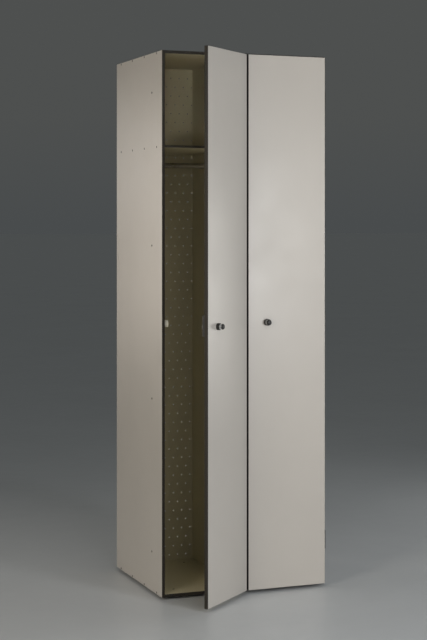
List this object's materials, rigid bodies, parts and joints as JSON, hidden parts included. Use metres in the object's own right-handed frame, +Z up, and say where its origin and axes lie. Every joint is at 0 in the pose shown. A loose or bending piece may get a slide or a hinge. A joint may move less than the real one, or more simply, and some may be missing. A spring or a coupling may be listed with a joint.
{
  "type": "mudroom locker unit",
  "caption": "Tall narrow locker for coats: bays side by side, each with a full-height hinged door, turn knob lock, hat shelf, clothes rail and perforated back, on low glides.",
  "frame": {"origin": "on the floor, at the centre of the whole outline as stored with the left door ajar", "axes": "+X to the right as seen from the front, -Y out of the doors, +Z up"},
  "size_m": [0.591, 0.693, 1.81],
  "materials": {
    "laminate": "pale warm grey satin laminate face, black core at every cut edge",
    "dark_screws": "blackened countersunk",
    "steel_screws": "plain zinc",
    "rail_metal": "bright tube",
    "socket_metal": "dark satin",
    "foot_plastic": "black moulded",
    "bumper_rubber": "black",
    "keep_plastic": "ivory moulded",
    "hinge_metal": "black powder coat",
    "pin_steel": "dark steel",
    "case_metal": "black lacquer",
    "bolt_steel": "plain",
    "knob_black": "black satin",
    "neck_steel": "turned",
    "joint_steel": "zinc"
  },
  "bodies": {
    "carcass": {"back_left": "laminate", "back_right": "laminate", "bottom_left": "laminate", "bottom_right": "laminate", "carcass_screws_left": "dark_screws", "carcass_screws_right": "dark_screws", "door_bumpers_left": "bumper_rubber", "door_bumpers_right": "bumper_rubber", "feet_left": "foot_plastic", "feet_right": "foot_plastic", "fitting_screws_left": "steel_screws", "fitting_screws_right": "steel_screws", "hinge_pins_left": "pin_steel", "hinge_pins_right": "pin_steel", "hinge_wall_leaves_left": "hinge_metal", "hinge_wall_leaves_right": "hinge_metal", "hinge_wall_screws_left": "steel_screws", "hinge_wall_screws_right": "steel_screws", "inner_side_left": "laminate", "inner_side_right": "laminate", "joining_bolts": "joint_steel", "joining_nuts": "joint_steel", "lock_keep_left": "keep_plastic", "lock_keep_right": "keep_plastic", "outer_side_left": "laminate", "outer_side_right": "laminate", "rail_left": "rail_metal", "rail_right": "rail_metal", "rail_sockets_left": "socket_metal", "rail_sockets_right": "socket_metal", "shelf_left": "laminate", "shelf_right": "laminate", "top_left": "laminate", "top_right": "laminate"},
    "door_left_leaf": {"door_left": "laminate", "hinge_door_leaves_left": "hinge_metal", "hinge_door_screws_left": "steel_screws", "lock_case_left": "case_metal", "lock_cover_left": "case_metal", "lock_screws_left": "steel_screws", "knob_rosette_left": "knob_black"},
    "knob_left": {"knob_head_left": "knob_black", "knob_spindle_left": "neck_steel", "lock_cam_left": "bolt_steel"},
    "bolt_left": {"lock_bolt_left": "bolt_steel"},
    "door_right_leaf": {"door_right": "laminate", "hinge_door_leaves_right": "hinge_metal", "hinge_door_screws_right": "steel_screws", "lock_case_right": "case_metal", "lock_cover_right": "case_metal", "lock_screws_right": "steel_screws", "knob_rosette_right": "knob_black"},
    "knob_right": {"knob_head_right": "knob_black", "knob_spindle_right": "neck_steel", "lock_cam_right": "bolt_steel"},
    "bolt_right": {"lock_bolt_right": "bolt_steel"}
  },
  "joints": [
    {"name": "door_left_swing", "type": "hinge", "parent": "carcass", "child": "door_left_leaf", "pos_m": [-0.0047, -0.15016, 0.91], "axis": [0, 0, 1], "range_deg": [-41.6, 48.4]},
    {"name": "knob_left_turn", "type": "hinge", "parent": "door_left_leaf", "child": "knob_left", "pos_m": [-0.16201, -0.30253, 0.908], "axis": [0.6639, -0.7478, 0], "range_deg": [0, 90]},
    {"name": "bolt_left_slide", "type": "slide", "parent": "door_left_leaf", "child": "bolt_left", "axis": [-0.7478, -0.6639, 0], "range_m": [0, 0.01]},
    {"name": "door_right_swing", "type": "hinge", "parent": "carcass", "child": "door_right_leaf", "pos_m": [0.2908, -0.15016, 0.91], "axis": [0, 0, 1], "range_deg": [0, 90]},
    {"name": "knob_right_turn", "type": "hinge", "parent": "door_right_leaf", "child": "knob_right", "pos_m": [0.072, -0.15966, 0.908], "axis": [0, -1, 0], "range_deg": [0, 90]},
    {"name": "bolt_right_slide", "type": "slide", "parent": "door_right_leaf", "child": "bolt_right", "axis": [-1, 0, 0], "range_m": [0, 0.01]}
  ],
  "couplings": [
    {"joint": "knob_left_turn", "follows": "bolt_left_slide", "rad_per_m": 157.08},
    {"joint": "knob_right_turn", "follows": "bolt_right_slide", "rad_per_m": 157.08}
  ]
}
